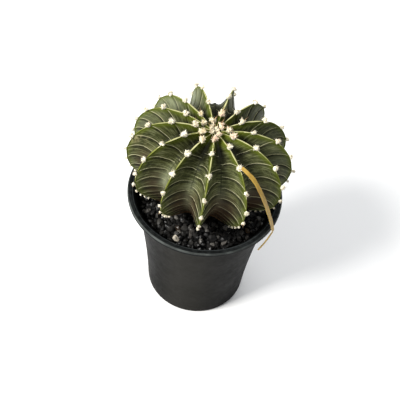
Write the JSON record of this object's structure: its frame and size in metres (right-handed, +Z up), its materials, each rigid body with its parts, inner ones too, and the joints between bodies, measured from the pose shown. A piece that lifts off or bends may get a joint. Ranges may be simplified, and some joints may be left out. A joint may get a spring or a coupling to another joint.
{
  "type": "potted round cactus",
  "caption": "Round cactus with deep pale-banded ribs and woolly areoles, standing in black gravel in a small tapered plastic pot, with a dry straw strip hanging over the lip.",
  "frame": {"origin": "centre of the pot's flat underside, on the pot's axis", "axes": "+Z up along the pot's axis; -Y is the side that faces the viewer, +X is to the viewer's right"},
  "size_m": [0.098, 0.0976, 0.14],
  "materials": {
    "pot_plastic": "satin black, lightly dusty",
    "soil_mix": "coarse dark potting mix",
    "gravel_stone": "rough black crushed stone with grey glints",
    "cactus_skin": "waxy grey-green skin with pale cross bands",
    "areole_wool": "dense white to cream wool",
    "spine": "dry tan spines",
    "straw": "dry golden straw, faint lengthwise grain"
  },
  "bodies": {
    "root": {"pot": "pot_plastic", "soil": "soil_mix", "gravel": "gravel_stone", "cactus": "cactus_skin", "tie_strip": "straw"}
  },
  "joints": []
}
